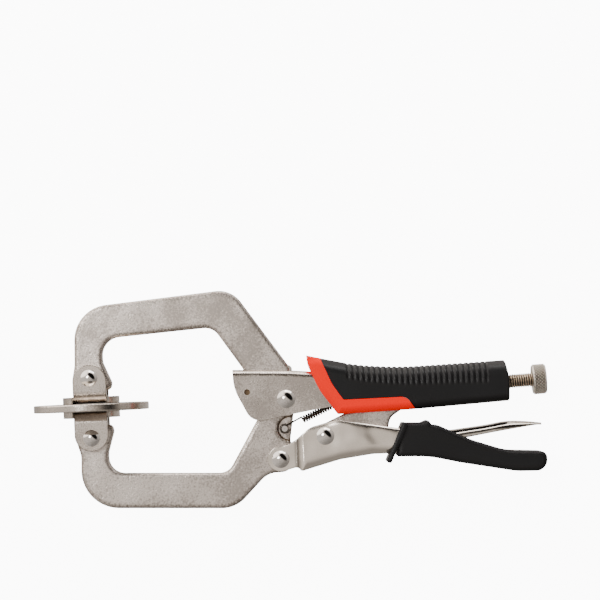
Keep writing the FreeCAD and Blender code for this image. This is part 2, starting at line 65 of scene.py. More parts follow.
def centre(node):
    """Middle of a CAD node's box."""
    low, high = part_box(node)
    return np.array((low + high) / 2)


def half_depth(node):
    """How far a CAD node reaches from the plane z = 0."""
    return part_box(node)[1].z


jaw_pivot = centre("jaw_rivet")
lever_pivot = centre("lever_rivet")
screw_joint = next(j for j in frame["joints"] if j["name"] == "screw_turn")
screw_point = np.array(screw_joint["pos_m"])
screw_along = np.array(screw_joint["axis"])
print("jaw pivot", jaw_pivot, "lever pivot", lever_pivot)

# %% [markdown]
# ## Camera, floor and light
# The camera stands far above the clamp and looks straight down, so the clamp shows its
# flat side with little perspective. The floor touches the large disc's rim and the
# underside of the handle's grip, which is how the real clamp lies on a table, so it is
# a little tilted. Nickel plate shows little but what it reflects, so most of the light
# is a white surround with a dark card in it, and two soft lamps add to it.

# %% Camera
HEIGHT = 1.3
VIEW_WIDTH = 0.3267          # metres across the picture at the clamp's mid plane
TURN = math.radians(2.49)    # the clamp's axis rises to the right by this much

SENSOR = 36                  # millimetres across the camera's sensor
SIDE_SHIFT = 10 / 600        # shares of the picture's width that the clamp is moved by
UP_SHIFT = 77 / 600
PAST_JAW = (2.6 * MM, 11.8 * MM)    # where the camera stands from the jaw pivot

camera_data = bpy.data.cameras.new("camera")
camera_data.sensor_width = SENSOR
camera_data.lens = SENSOR * HEIGHT / VIEW_WIDTH
camera_data.shift_x = SIDE_SHIFT
camera_data.shift_y = UP_SHIFT
camera = bpy.data.objects.new("camera", camera_data)
bpy.context.scene.collection.objects.link(camera)
camera.location = (jaw_pivot[0] + PAST_JAW[0], jaw_pivot[1] + PAST_JAW[1], HEIGHT)
camera.rotation_euler = (0, 0, -TURN)
bpy.context.scene.camera = camera
print("camera lens", round(camera_data.lens, 1), "at height", HEIGHT)


# %% Floor
def linear(hex_code):
    """A colour as Blender wants it, from its usual sRGB code."""
    part = np.array([int(hex_code[i:i + 2], 16) for i in (1, 3, 5)]) / 255
    flat = np.where(part <= 0.04045, part / 12.92, ((part + 0.055) / 1.055) ** 2.4)
    return (*flat.tolist(), 1.0)


def node(tree, kind, inputs=None, **settings):
    """Adds one shader node; inputs are numbers, colours or other nodes' sockets."""
    made = tree.nodes.new("ShaderNode" + kind)
    for name, value in settings.items():
        setattr(made, name, value)
    for socket, value in (inputs or {}).items():
        if isinstance(value, bpy.types.NodeSocket):
            tree.links.new(value, made.inputs[socket])
        else:
            made.inputs[socket].default_value = value
    return made


def new_material(name):
    """An empty material with its Principled shader."""
    material = bpy.data.materials.new(name)
    material.use_nodes = True
    return material, material.node_tree, material.node_tree.nodes["Principled BSDF"]


def ramp(tree, value, start, end, first, last):
    """Goes straight from first to last while value goes from start to end."""
    return node(tree, "MapRange", {"Value": value, "From Min": start, "From Max": end,
                                   "To Min": first, "To Max": last}).outputs[0]


def maths(tree, operation, one, two=0.0):
    """One step of arithmetic on sockets or numbers."""
    return node(tree, "Math", {0: one, 1: two}, operation=operation).outputs[0]


def painted(tree, share, under, over):
    """The colour over laid on the colour under, by a share from 0 to 1."""
    return node(tree, "Mix", {"Factor": share, "A": under, "B": over},
                data_type="RGBA").outputs["Result"]


disc_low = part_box("large_disc")[0]
grip_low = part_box("handle_grip")[0]
grip_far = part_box("handle_grip")[1].x
slope = math.atan2(grip_low.z - disc_low.z, grip_far)
REACH = 1.6                  # metres from the middle of the floor to its sides
FLOOR_GAP = 0.2 * MM
corners = [(x, y, disc_low.z - FLOOR_GAP + x * math.tan(slope))
           for x, y in ((-REACH, -REACH), (REACH, -REACH), (REACH, REACH),
                        (-REACH, REACH))]
floor_mesh = bpy.data.meshes.new("floor")
floor_mesh.from_pydata(corners, [], [(0, 1, 2, 3)])
floor = bpy.data.objects.new("floor", floor_mesh)
bpy.context.scene.collection.objects.link(floor)
PAPER_GLOW = 10.0            # the view transform needs this much light for near white
# Matt white paper with a glow of its own, so it shows no shadow and reads as plain.
paper, _, paper_shader = new_material("white paper")
paper_shader.inputs["Base Color"].default_value = linear("#FBFBFB")
paper_shader.inputs["Roughness"].default_value = 0.9
paper_shader.inputs["Specular IOR Level"].default_value = 0.1
paper_shader.inputs["Emission Color"].default_value = linear("#FFFFFF")
paper_shader.inputs["Emission Strength"].default_value = PAPER_GLOW
floor.visible_glossy = False
floor.visible_diffuse = False
floor_mesh.materials.append(paper)
print("floor slope in degrees", math.degrees(slope))


# %% The white surround
CARD_ACROSS = (0.586, 0.586, -0.559)       # the way of the dark card's short side
CARD_ALONG = (-0.707, 0.707, 0.0)          # and of its long side
CARD_WIDTH, CARD_LENGTH = 0.36, 0.72
CARD_EDGE = (0.8, 1.15)                    # the card fades out between these
CARD_LEVEL = 0.01
TABLE_EDGE, TABLE_LEVEL = 0.05, 0.75
BRIGHT_SIDE = (-0.55, 0.83, 0.0)
world = bpy.data.worlds.new("studio")
world.use_nodes = True
studio = world.node_tree
direction = node(studio, "TexCoord").outputs["Generated"]


def towards(way):
    """How far the direction that is looked in points along way."""
    return node(studio, "VectorMath", {0: direction, 1: way},
                operation="DOT_PRODUCT").outputs["Value"]


# a small dark card among white screens: it draws the dark streak on each rivet head
sideways = maths(studio, "DIVIDE", towards(CARD_ACROSS), CARD_WIDTH)
lengthways = maths(studio, "DIVIDE", towards(CARD_ALONG), CARD_LENGTH)
on_card = node(studio, "CombineXYZ", {"X": sideways, "Y": lengthways}).outputs[0]
from_card = node(studio, "VectorMath", {0: on_card}, operation="LENGTH").outputs["Value"]
card = ramp(studio, from_card, *CARD_EDGE, CARD_LEVEL, 1.0)
# the table under the clamp is white as well, so the card ends at the horizon
rise = node(studio, "SeparateXYZ", {"Vector": direction}).outputs["Z"]
table = ramp(studio, rise, -TABLE_EDGE, TABLE_EDGE, TABLE_LEVEL, 0.0)
level = maths(studio, "MAXIMUM", card, table)
# the screens are brightest to the upper left and fall away to the lower right
slant = towards(BRIGHT_SIDE)
gain = ramp(studio, slant, 0.58, 0.72, 0.0, 2.2)
wash = ramp(studio, slant, -0.8, 0.0, 0.35, 0.9)
strength = maths(studio, "MULTIPLY", level, maths(studio, "ADD", gain, wash))
backdrop = studio.nodes["Background"]
backdrop.inputs["Color"].default_value = linear("#F8F1EA")
studio.links.new(strength, backdrop.inputs["Strength"])
bpy.context.scene.world = world
print("the surround has", len(studio.nodes), "nodes")

# %% Soft lamps
CLAMP_MIDDLE = Vector((0.11, -0.01, 0))


def lamp(name, place, size, power):
    """A soft lamp of size (width, height) in metres that faces the clamp's middle."""
    light = bpy.data.lights.new(name, "AREA")
    light.shape = "RECTANGLE"
    light.size, light.size_y = size
    light.energy = power
    holder = bpy.data.objects.new(name, light)
    bpy.context.scene.collection.objects.link(holder)
    holder.location = place
    facing = CLAMP_MIDDLE - Vector(place)
    holder.rotation_euler = facing.to_track_quat("-Z", "Y").to_euler()


lamp("key", (-0.36, 0.30, 1.15), (0.42, 0.34), 5)
lamp("rim", (0.5, 1.3, 0.5), (1.2, 0.4), 8)
print("soft lamps", len(bpy.data.lights))

# %% [markdown]
# ## Nickel plate
# The jaws are hammered hot in a die, tumbled and plated, so the plate lies over a fine
# pebbled skin with small pits. The handle is folded from sheet, which is smoother. All
# the bare metal uses one recipe with different amounts of grain, pits and polish: a
# metal shader, a roughness that drifts over a few centimetres, and a bump in three
# sizes, from slow waves over fine grain to pits. Marks are laid over it where a piece
# has them, mostly painted shade: a brown ring round a recess, brown rust with painted
# shade in a hole, thread roots and knurl grooves, dark specks at folds and at edges
# (with rough skin there as well), and the crease of the lever's step.

# %% The marks on metal
# brown for painted shade round the recess, and for rust with painted shade in the hole
RUST_AND_SHADE_BROWN = linear("#6E5C49")
# painted shade in thread roots and knurl grooves
GROOVE_SHADE = linear("#2E2721")
# dark specks: painted shade at folds, and rough skin with painted shade at edges
ROUGH_SKIN_AND_SHADE = linear("#6A6056")
# painted shade in the crease of the lever's step
CREASE_SHADE = linear("#3B352F")


def spot(tree, place, middle, inner, outer, below):
    """1 in an upright ring round middle and under a height, 0 elsewhere."""
    flat = node(tree, "VectorMath", {0: place, 1: (1, 1, 0)}, operation="MULTIPLY")
    away = node(tree, "VectorMath", {0: flat.outputs[0], 1: (middle[0], middle[1], 0)},
                operation="DISTANCE").outputs["Value"]
    ring = maths(tree, "MULTIPLY", maths(tree, "LESS_THAN", away, outer),
                 maths(tree, "GREATER_THAN", away, inner))
    height = node(tree, "SeparateXYZ", {"Vector": place}).outputs["Z"]
    return maths(tree, "MULTIPLY", ring, maths(tree, "LESS_THAN", height, below))


def fold_foot(tree):
    """1 on the strip under the fold along the top, where the surface starts to tilt."""
    facing = node(tree, "NewGeometry").outputs["Normal"]
    tilt = node(tree, "SeparateXYZ", {"Vector": facing}).outputs["Y"]
    return maths(tree, "MULTIPLY", ramp(tree, tilt, 0.02, 0.10, 0.0, 1.0),
                 ramp(tree, tilt, 0.40, 0.55, 1.0, 0.0))


def rim(tree, edge_mm):
    """1 close to an edge, 0 on the open flat, from how little solid lies underneath."""
    depth = node(tree, "AmbientOcclusion", {"Distance": 2.2 * edge_mm * MM},
                 samples=8, inside=True, only_local=True).outputs["AO"]
    return ramp(tree, maths(tree, "SUBTRACT", 1.0, depth), 0.08, 0.34, 0.0, 1.0)


def crease_shade_mask(tree, place, begin_mm, end_mm):
    """0.8 in the middle of a span along X past the lever pivot, fading both ways."""
    along = node(tree, "SeparateXYZ", {"Vector": place}).outputs["X"]
    middle = lever_pivot[0] + (begin_mm + end_mm) / 2 * MM
    away = maths(tree, "ABSOLUTE", maths(tree, "SUBTRACT", along, middle))
    return ramp(tree, away, 0.2 * MM, (end_mm - begin_mm) * MM, 0.8, 0.0)


# %% The metal recipe
DRIFT_SCALE = 55.0           # noise cells per metre in the plate's slow change of tone
WAVE_SCALE = 48.0            # and in its slow waves


def metal(name, tone, dark, rough, grain_mm, grain_depth, pit_mm, pit_depth, tint=0.6,
          rust_and_shade=None, sway=0.0, edge_mm=0.0, shaded_crease=None, bend=False, groove_shade=0.0):
    """Plated steel: tone and dark are its two colours, rough its (low, high) gloss.

    grain_depth and pit_depth are millimetres of height, grain_mm and pit_mm widths.
    tint is how much of dark shows. sway is the height in millimetres of slow waves.
    edge_mm is the roundness of edges, which get dark specks of rough skin and painted shade when it is above 0.
    rust_and_shade is (middle, inner and outer radius, height) of a ring painted brown: painted shade at a recess's
    rim, and rust with painted shade in a hole.
    shaded_crease is the span in millimetres along X, past the lever pivot, of a crease darkened with painted
    shade.
    bend lays dark specks of painted shade on the foot of the fold along the top, where the surface starts to tilt.
    groove_shade is how much painted shade darkens the places marked in the attribute "root"."""
    material, tree, shader = new_material(name)
    place = node(tree, "TexCoord").outputs["Object"]
    drift = node(tree, "TexNoise", {"Vector": place, "Scale": DRIFT_SCALE,
                                    "Detail": 4.0})
    grain = node(tree, "TexNoise", {"Vector": place, "Scale": 1000 / grain_mm,
                                    "Detail": 3.0}).outputs["Fac"]
    pits = node(tree, "TexVoronoi", {"Vector": place, "Scale": 1000 / pit_mm},
                feature="SMOOTH_F1").outputs["Distance"]
    mixed = maths(tree, "MULTIPLY", drift.outputs["Fac"], grain)

    colour = painted(tree, ramp(tree, mixed, 0.17, 0.30, tint, 0.0), linear(tone),
                     linear(dark))
    # a brown ring of painted shade round the recess; in the locating hole, rust with painted shade
    if rust_and_shade:
        colour = painted(tree, spot(tree, place, *rust_and_shade), colour, RUST_AND_SHADE_BROWN)
    # painted shade in the grooves, darkest where the attribute "root" marks them deepest
    if groove_shade:
        low = node(tree, "Attribute", attribute_name="root").outputs["Fac"]
        colour = painted(tree, maths(tree, "MULTIPLY", low, groove_shade), colour, GROOVE_SHADE)
    # dark specks along folds as painted shade, and along edges as rough skin with painted shade
    if bend or edge_mm:
        skin_and_shade_band = fold_foot(tree) if bend else rim(tree, edge_mm)
        specks = ramp(tree, grain, 0.42, 0.56, 0.9, 0.3)
        colour = painted(tree, maths(tree, "MULTIPLY", skin_and_shade_band, specks), colour, ROUGH_SKIN_AND_SHADE)
    # painted shade in the crease where the lever's cheeks step out
    if shaded_crease:
        colour = painted(tree, crease_shade_mask(tree, place, *shaded_crease), colour, CREASE_SHADE)
    tree.links.new(colour, shader.inputs["Base Color"])
    tree.links.new(ramp(tree, mixed, 0.12, 0.38, rough[1], rough[0]),
                   shader.inputs["Roughness"])
    shader.inputs["Metallic"].default_value = 1.0

    waves = node(tree, "TexNoise", {"Vector": place, "Scale": WAVE_SCALE,
                                    "Detail": 1.0})
    normal = node(tree, "Bevel", {"Radius": edge_mm * MM}, samples=6).outputs[0]
    for height, depth_mm in ((waves.outputs["Fac"], sway), (grain, grain_depth),
                             (ramp(tree, pits, 0.0, 0.32, 0.0, 1.0), pit_depth)):
        normal = node(tree, "Bump", {"Height": height, "Strength": 1.0,
                                     "Distance": depth_mm * MM,
                                     "Normal": normal}).outputs[0]
    tree.links.new(normal, shader.inputs["Normal"])
    return material


# %% The metals
def forging(name, rust_and_shade=None):
    """Satin plate over a tumbled forging: a broad soft shine broken by small pits."""
    return metal(name, "#D9CFC6", "#7E746B", (0.26, 0.42), 0.9, 0.05, 1.6, 0.035, rust_and_shade=rust_and_shade,
                 sway=0.5, edge_mm=1.8)


post_at = centre("spring_post")
recess_at = (post_at[0] + 2.9 * MM, post_at[1])
hole = next(m for m in frame["record"]["mounts"] if m["name"] == "handle_hole_front")
# Tumbled forgings; the moving jaw gets a brown ring of painted shade round its recess, and the fixed jaw brown
# rust with painted shade in its locating hole.
forged = forging("satin nickel plate on tumbled forged steel")
forged_recess = forging("satin nickel plate on forged steel with a rough recess",
                        rust_and_shade=(recess_at, 6.1 * MM, 6.95 * MM, 4.4 * MM))
# brown rust with painted shade on the wall of the locating hole
forged_root = forging("satin nickel plate on forged steel, bare in the locating hole",
                      rust_and_shade=(hole["pos_m"], 0.0, 1.9 * MM, 9 * MM))
# Satin plate over rolled sheet: flatter, so it holds longer reflections, with painted shade at the foot of its top
# fold.
sheet = metal("satin nickel plate on folded sheet steel", "#DBD1C8", "#857B72",
              (0.17, 0.32), 0.8, 0.035, 1.8, 0.025, sway=0.6, bend=True)
# Smooth satin plate on the pressed lever: warm, with wide clean gradients and painted shade in the crease of its
# step.
lever_plate = metal("smooth nickel plate on pressed steel", "#F1E7DB", "#B5AA9D",
                    (0.17, 0.27), 0.5, 0.004, 2.2, 0.002, tint=0.15, sway=2.6,
                    shaded_crease=(8.2, 10.4))
# Bright plate on small pressed parts: it mirrors the white surround and the dark card.
bright = metal("bright nickel plate on pressed steel", "#E2DBD1", "#A89D8F",
               (0.10, 0.18), 0.6, 0.002, 2.4, 0.001, sway=0.4)
# The pads are barrel plated: soft shine with hairline scuffs.
pad_plate = metal("satin nickel plate on pressed pads", "#DAD0C6", "#8E8479",
                  (0.16, 0.28), 0.6, 0.010, 2.0, 0.006, sway=0.3, edge_mm=0.4)
# Polished rivet heads, set by a rotating die that leaves them nearly mirror smooth.
rivet_finish = metal("polished steel rivet head", "#E2DDD8", "#BEB6AE",
                     (0.05, 0.09), 0.7, 0.0006, 2.5, 0.0004)
# Plated weld metal: bright and lumpy.
weld_finish = metal("plated weld metal", "#DCD5CC", "#A1988D", (0.14, 0.24), 0.8, 0.05,
                    1.5, 0.05)
# Rolled thread with thin warm plating, and painted shade in its roots.
thread_finish = metal("warm plated rolled thread", "#F2E3D0", "#B5A08A", (0.18, 0.32),
                      0.4, 0.006, 1.4, 0.003, tint=0.3, groove_shade=1.0)
# Knurl cut before plating: pale points, with painted shade in the grooves.
knurl_finish = metal("nickel plate on cut knurl", "#DBD3C8", "#8F867B", (0.22, 0.36),
                     0.35, 0.008, 1.2, 0.004, tint=0.3, groove_shade=0.9)
# Spring wire, hardened and left dark under a thin oil.
wire_finish = metal("dark spring steel wire", "#6A645E", "#332F2C", (0.24, 0.36), 0.4,
                    0.003, 1.0, 0.002)
print("metals", [m.name for m in bpy.data.materials if m is not paper])

# %% [markdown]
# ## Moulded grips
# The black grips are a firm rubber-like plastic. The mould is spark-eroded, which leaves
# a fine even matt texture, and handling polishes the high places a little.


# %% The moulded recipe
def moulded(name, tone, lighter, rough, texture_mm, texture_depth, sheen, glow=0.0,
            edge_mm=0.0):
    """Matt moulded plastic with an eroded mould's texture and faint flow marks.

    texture_mm is the texture's width and texture_depth its height in millimetres.
    sheen is how strongly it mirrors, from 0 to 1, and glow a painted light that it gives off in its own colour.
    edge_mm is how far the edges are rounded."""
    material, tree, shader = new_material(name)
    place = node(tree, "TexCoord").outputs["Object"]
    flow = node(tree, "TexNoise", {"Vector": place, "Scale": 40.0, "Detail": 5.0,
                                   "Distortion": 0.6}).outputs["Fac"]
    texture = node(tree, "TexNoise", {"Vector": place, "Scale": 1000 / texture_mm,
                                      "Detail": 2.0}).outputs["Fac"]
    mixed = maths(tree, "MULTIPLY", flow, texture)
    tree.links.new(painted(tree, mixed, linear(tone), linear(lighter)),
                   shader.inputs["Base Color"])
    tree.links.new(ramp(tree, mixed, 0.1, 0.4, *rough), shader.inputs["Roughness"])
    shader.inputs["IOR"].default_value = 1.5
    shader.inputs["Specular IOR Level"].default_value = sheen
    # painted light: a glow in the plastic's own colour
    shader.inputs["Emission Color"].default_value = linear(tone)
    shader.inputs["Emission Strength"].default_value = glow
    round_edge = node(tree, "Bevel", {"Radius": edge_mm * MM}, samples=6).outputs[0]
    bump = node(tree, "Bump", {"Height": texture, "Strength": 1.0,
                               "Distance": texture_depth * MM, "Normal": round_edge})
    tree.links.new(bump.outputs[0], shader.inputs["Normal"])
    return material


# Near-black, with a soft grey sheen along the rounded edges.
black_rubber = moulded("matt black moulded rubber", "#0C0B0D", "#161517", (0.34, 0.48),
                       0.35, 0.012, 0.28)
# The lever's grip is taken to be dipped, so its edges are soft and round.
dipped_rubber = moulded("matt black dipped rubber", "#0C0B0D", "#161517", (0.34, 0.46),
                        0.35, 0.010, 0.28, edge_mm=2.8)
# Vivid orange-red accent, with a small glow of painted light, so it looks brighter
# than any plain orange.
orange_rubber = moulded("matt orange moulded rubber", "#FF1500", "#FF2000", (0.5, 0.65),
                        0.35, 0.012, 0.06, glow=0.2)
print("plastics", black_rubber.name, dipped_rubber.name, orange_rubber.name)

# %% Finishes of the pieces that CAD shapes fully
finishes = {
    forged: ("toggle_link",),
    forged_recess: ("moving_jaw",),
    forged_root: ("fixed_jaw",),
    sheet: ("fixed_handle",),
    lever_plate: ("lever_handle",),
    bright: ("release_lever",),
    pad_plate: ("fixed_swivel_pad", "moving_swivel_pad", "large_disc"),
    rivet_finish: ("jaw_rivet", "lever_rivet", "link_rivet", "fixed_pad_rivet",
                   "moving_pad_rivet", "disc_rivet", "spring_post", "spring_anchor_pin",
                   "release_pin"),
    weld_finish: ("jaw_weld",),
    thread_finish: ("adjusting_screw", "screw_nut", "thrust_tip"),
    knurl_finish: ("screw_knob",),
    wire_finish: ("return_spring",),
    black_rubber: ("handle_grip",),
    dipped_rubber: ("lever_grip",),
    orange_rubber: ("grip_accent",),
}
for finish, names in finishes.items():
    for name in names:
        shown = frame["nodes"][name]
        shown.data.materials.clear()
        shown.data.materials.append(finish)
print("finished", sum(len(names) for names in finishes.values()), "pieces")


# %% [markdown]
# ## Surfaces from two numbers
# The pieces below are grids. One number runs along the piece and one runs round it, and
# a formula gives the point for each pair, for the whole grid at once.


# %% Grid to mesh
def surface(name, points, finish, body, replaces, wrap=False, caps=(None, None),
            keep=None, sharp=35, root=None):
    """A mesh from a grid of points (rows, columns, 3) that rides on a body.

    wrap joins the last column to the first. caps are the two poles, each a point that
    closes the first or last row with a fan. keep chooses the grid's faces. An edge that
    turns by more than sharp degrees stays crisp. root is a number from 0 to 1 for each
    row and column, stored for the finish to darken."""
    rows, columns = points.shape[:2]
    row, column = np.meshgrid(np.arange(rows - 1), np.arange(columns - (not wrap)),
                              indexing="ij")
    here = row * columns + column
    beside = row * columns + (column + 1) % columns
    quads = np.stack([here, beside, beside + columns, here + columns], axis=-1)
    quads = quads[keep] if keep is not None else quads.reshape(-1, 4)
    corners = points.reshape(-1, 3)
    faces = quads.tolist()
    around = np.arange(columns)
    for cap, first, flip in zip(caps, (0, (rows - 1) * columns), (True, False)):
        if cap is not None:
            pole = np.full(columns, len(corners))
            corners = np.vstack([corners, cap])
            fan = [first + around, first + (around + 1) % columns, pole]
            faces += np.stack(fan[::-1] if flip else fan, axis=-1).tolist()
    mesh = bpy.data.meshes.new(name)
    mesh.from_pydata(corners.tolist(), [], faces)
    mesh.validate()
    if root is not None:
        marks = np.zeros(len(mesh.vertices), dtype=np.float32)
        marks[:root.size] = root.ravel()
        mesh.attributes.new("root", "FLOAT", "POINT").data.foreach_set("value", marks)
    used = np.unique(np.concatenate([np.ravel(f) for f in faces]))
    mesh.shade_smooth()
    mesh.set_sharp_from_angle(angle=math.radians(sharp))
    mesh.materials.append(finish)
    piece = bpy.data.objects.new(name, mesh)
    bpy.context.scene.collection.objects.link(piece)
    if body:
        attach(piece, body)
    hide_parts(replaces)
    print(name, len(mesh.vertices), "points", len(used), "used,", len(faces), "faces")
    return piece


def eased(x, corners, ease):
    """Height of a bent line through corners (x, y), its bends rounded over ease."""
    xs, ys = np.array(corners).T
    offsets = np.linspace(-ease, ease, 21)
    return np.mean([np.interp(x + d, xs, ys) for d in offsets], axis=0)


def smooth(x, low, high):
    """0 below low, 1 above high and an S between them."""
    t = np.clip((x - low) / (high - low), 0, 1)
    return t * t * (3 - 2 * t)


# %% [markdown]
# ## Rivets
# Each pivot is a solid steel rivet. Its head is a low dome that meets the plate in a
# short straight rim, the shape that the rivet die leaves.


# %% Domed rivets
HEAD_HEIGHT = 2.5 * MM
RIM_SHARE = 0.25             # the rim's share of the head's height


def domed_rivet(name, node_name, body, shank):
    """Turned profile: shank, head's underside, rim and a dome that is a ball's cap."""
    low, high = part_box(node_name)
    middle = centre(node_name)
    head = (high.x - low.x) / 2
    top = high.z
    under = top - HEAD_HEIGHT
    cap = HEAD_HEIGHT - HEAD_HEIGHT * RIM_SHARE
    ball = (head ** 2 + cap ** 2) / (2 * cap)
    tilt = np.linspace(math.asin(head / ball), 0.02, 24)
    dome_r = ball * np.sin(tilt)
    dome_z = top - ball + ball * np.cos(tilt)
    radius = np.concatenate([[shank, shank, head - 0.1 * MM, head], dome_r])
    level = np.concatenate([[0, under, under, under + 0.1 * MM], dome_z])
    radius = np.concatenate([radius[::-1], radius[1:]])
    level = np.concatenate([-level[::-1], level[1:]])
    angle = np.linspace(0, 2 * math.pi, 72, endpoint=False)
    points = np.stack([middle[0] + radius[:, None] * np.cos(angle),
                       middle[1] + radius[:, None] * np.sin(angle),
                       level[:, None] + 0 * angle], axis=-1)
    ends = [(middle[0], middle[1], -top), (middle[0], middle[1], top)]
    return surface(name, points, rivet_finish, body, node_name, wrap=True, caps=ends)


for label, body, shank in (("jaw_rivet", "handle", 3.9), ("lever_rivet", "jaw", 3.9),
                           ("link_rivet", "lever", 3.9),
                           ("fixed_pad_rivet", "handle", 3.4),
                           ("moving_pad_rivet", "jaw", 3.4)):
    domed_rivet(label + "_dome", label, body, shank * MM)

# %% [markdown]
# ## The ribbed handle grip
# The black sleeve is moulded round the folded handle. Its upper half has a row of cross
# ribs for the palm. A section through it is a rounded box, open underneath where the
# toggle link swings. The path round the section is measured from the middle of the top,
# so a rib is a shallow dip that fades out a set distance along that path.

# %% Handle grip
TOP_ROUND = 7.5 * MM
LOW_ROUND = 4.0 * MM
WALL = 2.4 * MM
SLOT_END = 78 * MM           # how far past the jaw pivot the slot for the link ends
SLOT_HALF = 5.7 * MM         # half of the slot's width
CLOSED_HALF = 0.03 * MM      # and behind the slot, where the underside is closed
SCREW_HOLE = 4.7 * MM
RIB_PITCH = 3.0 * MM
RIB_DEPTH = 0.5 * MM
RIBS_FROM, RIBS_TO = 34.0 * MM, 109 * MM    # past the jaw pivot
END_ROUND = 0.9 * MM
grip_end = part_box("handle_grip")[1].x
grip_half = half_depth("handle_grip")


def from_jaw(points):
    """Corners in millimetres from the jaw pivot, as metres in the clamp's frame."""
    return np.array(points) * MM + jaw_pivot[:2]


def section_path(s, top, low, half):
    """Point at distance s from the top's middle, and the direction out of the surface.

    The path is the flat top, a wide quarter circle, the side, a smaller quarter circle
    and the flat underside, which stops at the slot's lip."""
    flat = half - TOP_ROUND
    wide, small = TOP_ROUND * math.pi / 2, LOW_ROUND * math.pi / 2
    side = top - low - TOP_ROUND - LOW_ROUND
    a = np.clip(s, 0, flat)
    b = np.clip(s - flat, 0, wide) / TOP_ROUND
    c = np.clip(s - flat - wide, 0, side)
    d = np.clip(s - flat - wide - side, 0, small) / LOW_ROUND
    e = np.clip(s - flat - wide - small - side, 0, None)
    across = a + TOP_ROUND * np.sin(b) - LOW_ROUND * (1 - np.cos(d)) - e
    height = top - TOP_ROUND * (1 - np.cos(b)) - c - LOW_ROUND * np.sin(d)
    out_across = np.sin(b) * np.cos(d)
    out_height = np.where(b >= math.pi / 2 - 1e-9, -np.sin(d), np.cos(b))
    return across, height, out_across, out_height


def end_bow(height):
    """How far the end face stands back along X at a height, for it bows a little."""
    levels = from_jaw([(0, -6.1), (0, 6.0), (0, 16.0)])[:, 1]
    return np.interp(height, levels, [-0.3 * MM, 0.0, -1.9 * MM])


def handle_grip():
    """Sleeve: eased top and bottom lines, a rounded-box section, cosine-shaped ribs."""
    a = jaw_pivot
    end = grip_end
    start = a[0] + 19.35 * MM
    x = np.concatenate([
        np.linspace(start, a[0] + 31 * MM, 36)[:-1],
        np.linspace(a[0] + 31 * MM, a[0] + 112 * MM, 325)[:-1],
        np.linspace(a[0] + 112 * MM, end, 26)])
    top = eased(x, from_jaw([(0, 26.1), (11.9, 23.1), (38, 16.9), (62, 14.7),
                             (119.3, 16.0), (130, 16.2)]), 9 * MM)
    bottom = eased(x, from_jaw([(0, -9.6), (27.7, -9.5), (70.9, -8.5), (121, -6.1),
                                (130, -5.8)]), 6 * MM)
    # the line where the orange part takes over
    seam = eased(x, from_jaw([(18.0, 30), (19.3, 21), (25, 7.2), (30.9, -1.7),
                              (64.0, -1.5), (66.5, -3.2), (72.2, -12), (80, -24)]),
                 0.7 * MM)
    # the underside stops at the slot for the link and closes behind its end
    lip = np.where(x < a[0] + SLOT_END, SLOT_HALF, CLOSED_HALF)
    half_flat = grip_half - TOP_ROUND
    quarter = TOP_ROUND * math.pi / 2
    side = top - bottom - TOP_ROUND - LOW_ROUND
    full = (half_flat + quarter + side + LOW_ROUND * math.pi / 2
            + (grip_half - LOW_ROUND - lip))
    drop = np.clip(top - seam, 0.05 * MM, None)
    in_arc = TOP_ROUND * np.arccos(np.clip(1 - drop / TOP_ROUND, -1, 1))
    to_low_arc = bottom + LOW_ROUND
    low_arc = LOW_ROUND * np.arcsin(np.clip((to_low_arc - seam) / LOW_ROUND, 0, 1))
    reach = np.where(drop < TOP_ROUND, half_flat + in_arc,
                     half_flat + quarter + np.clip(drop - TOP_ROUND, 0, side) + low_arc)
    reach = np.where(seam < bottom, full, reach)
    v = np.linspace(-1, 1, 105)
    s = np.abs(v)[None, :] * reach[:, None]
    across, height, out_z, out_y = section_path(
        s, top[:, None], bottom[:, None], grip_half)
    # ribs: a dip every pitch, deepest on top, gone a little way down the sides
    first, last = a[0] + RIBS_FROM, a[0] + RIBS_TO
    wave = (0.5 + 0.5 * np.cos(2 * math.pi * (x - first) / RIB_PITCH)) ** 1.6
    wave *= smooth(x, first - 1.6 * MM, first - 1.0 * MM)
    wave *= 1 - smooth(x, last, last + 1.0 * MM)
    tall = half_flat + quarter + np.interp(x, [first, last], [1.0 * MM, 4.0 * MM])
    fade = 1 - smooth(s, (tall - 3.2 * MM)[:, None], (tall + 1.0 * MM)[:, None])
    dip = RIB_DEPTH * wave[:, None] * fade
    # the rim of the end is rounded by drawing the last stations in
    into = np.clip((x - (end - END_ROUND)) / END_ROUND, 0, 1)
    dip = dip + END_ROUND * (1 - np.sqrt(1 - 0.999 * into ** 2))[:, None]
    across = across - dip * out_z
    height = height - dip * out_y
    z = np.sign(v)[None, :] * across
    along = x[:, None] + end_bow(height) * smooth(x, end - 8 * MM, end)[:, None]
    outside = np.stack([along, height, z], axis=-1)
    # the end face runs in to the hole that the screw passes through
    rim = outside[-1]
    axis_at = screw_point + screw_along * ((end - screw_point[0]) / screw_along[0])
    away = rim[:, 1:] - axis_at[1:]
    hole = axis_at[1:] + away / np.linalg.norm(away, axis=1)[:, None] * SCREW_HOLE
    shares = np.linspace(0, 1, 7)[1:, None, None]
    face = rim[None].repeat(6, axis=0)
    face[..., 1:] += (hole - rim[:, 1:])[None] * shares
    face[..., 0] = axis_at[0] + end_bow(face[..., 1])
    points = np.concatenate([outside, face])
    piece = surface("ribbed_handle_grip", points, black_rubber, "handle", "handle_grip")
    skin = piece.modifiers.new("wall", "SOLIDIFY")
    skin.thickness = WALL
    skin.offset = -1
    return piece


handle_grip()

# %% [markdown]
# ## The screw
# An M8 thread with a 1.25 mm pitch is rolled on the rod. Its surface is a radius that
# goes up and down once for each turn, so along any line the crests are one pitch apart.

# %% Thread
PITCH = 1.25 * MM
THREAD_DEPTH = 0.62 * MM
NOSE_LENGTH = 3.0 * MM       # plain end of the rod
screw_low, screw_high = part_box("adjusting_screw")
side_one = np.array([-screw_along[1], screw_along[0], 0.0])
side_two = np.array([0.0, 0.0, 1.0])


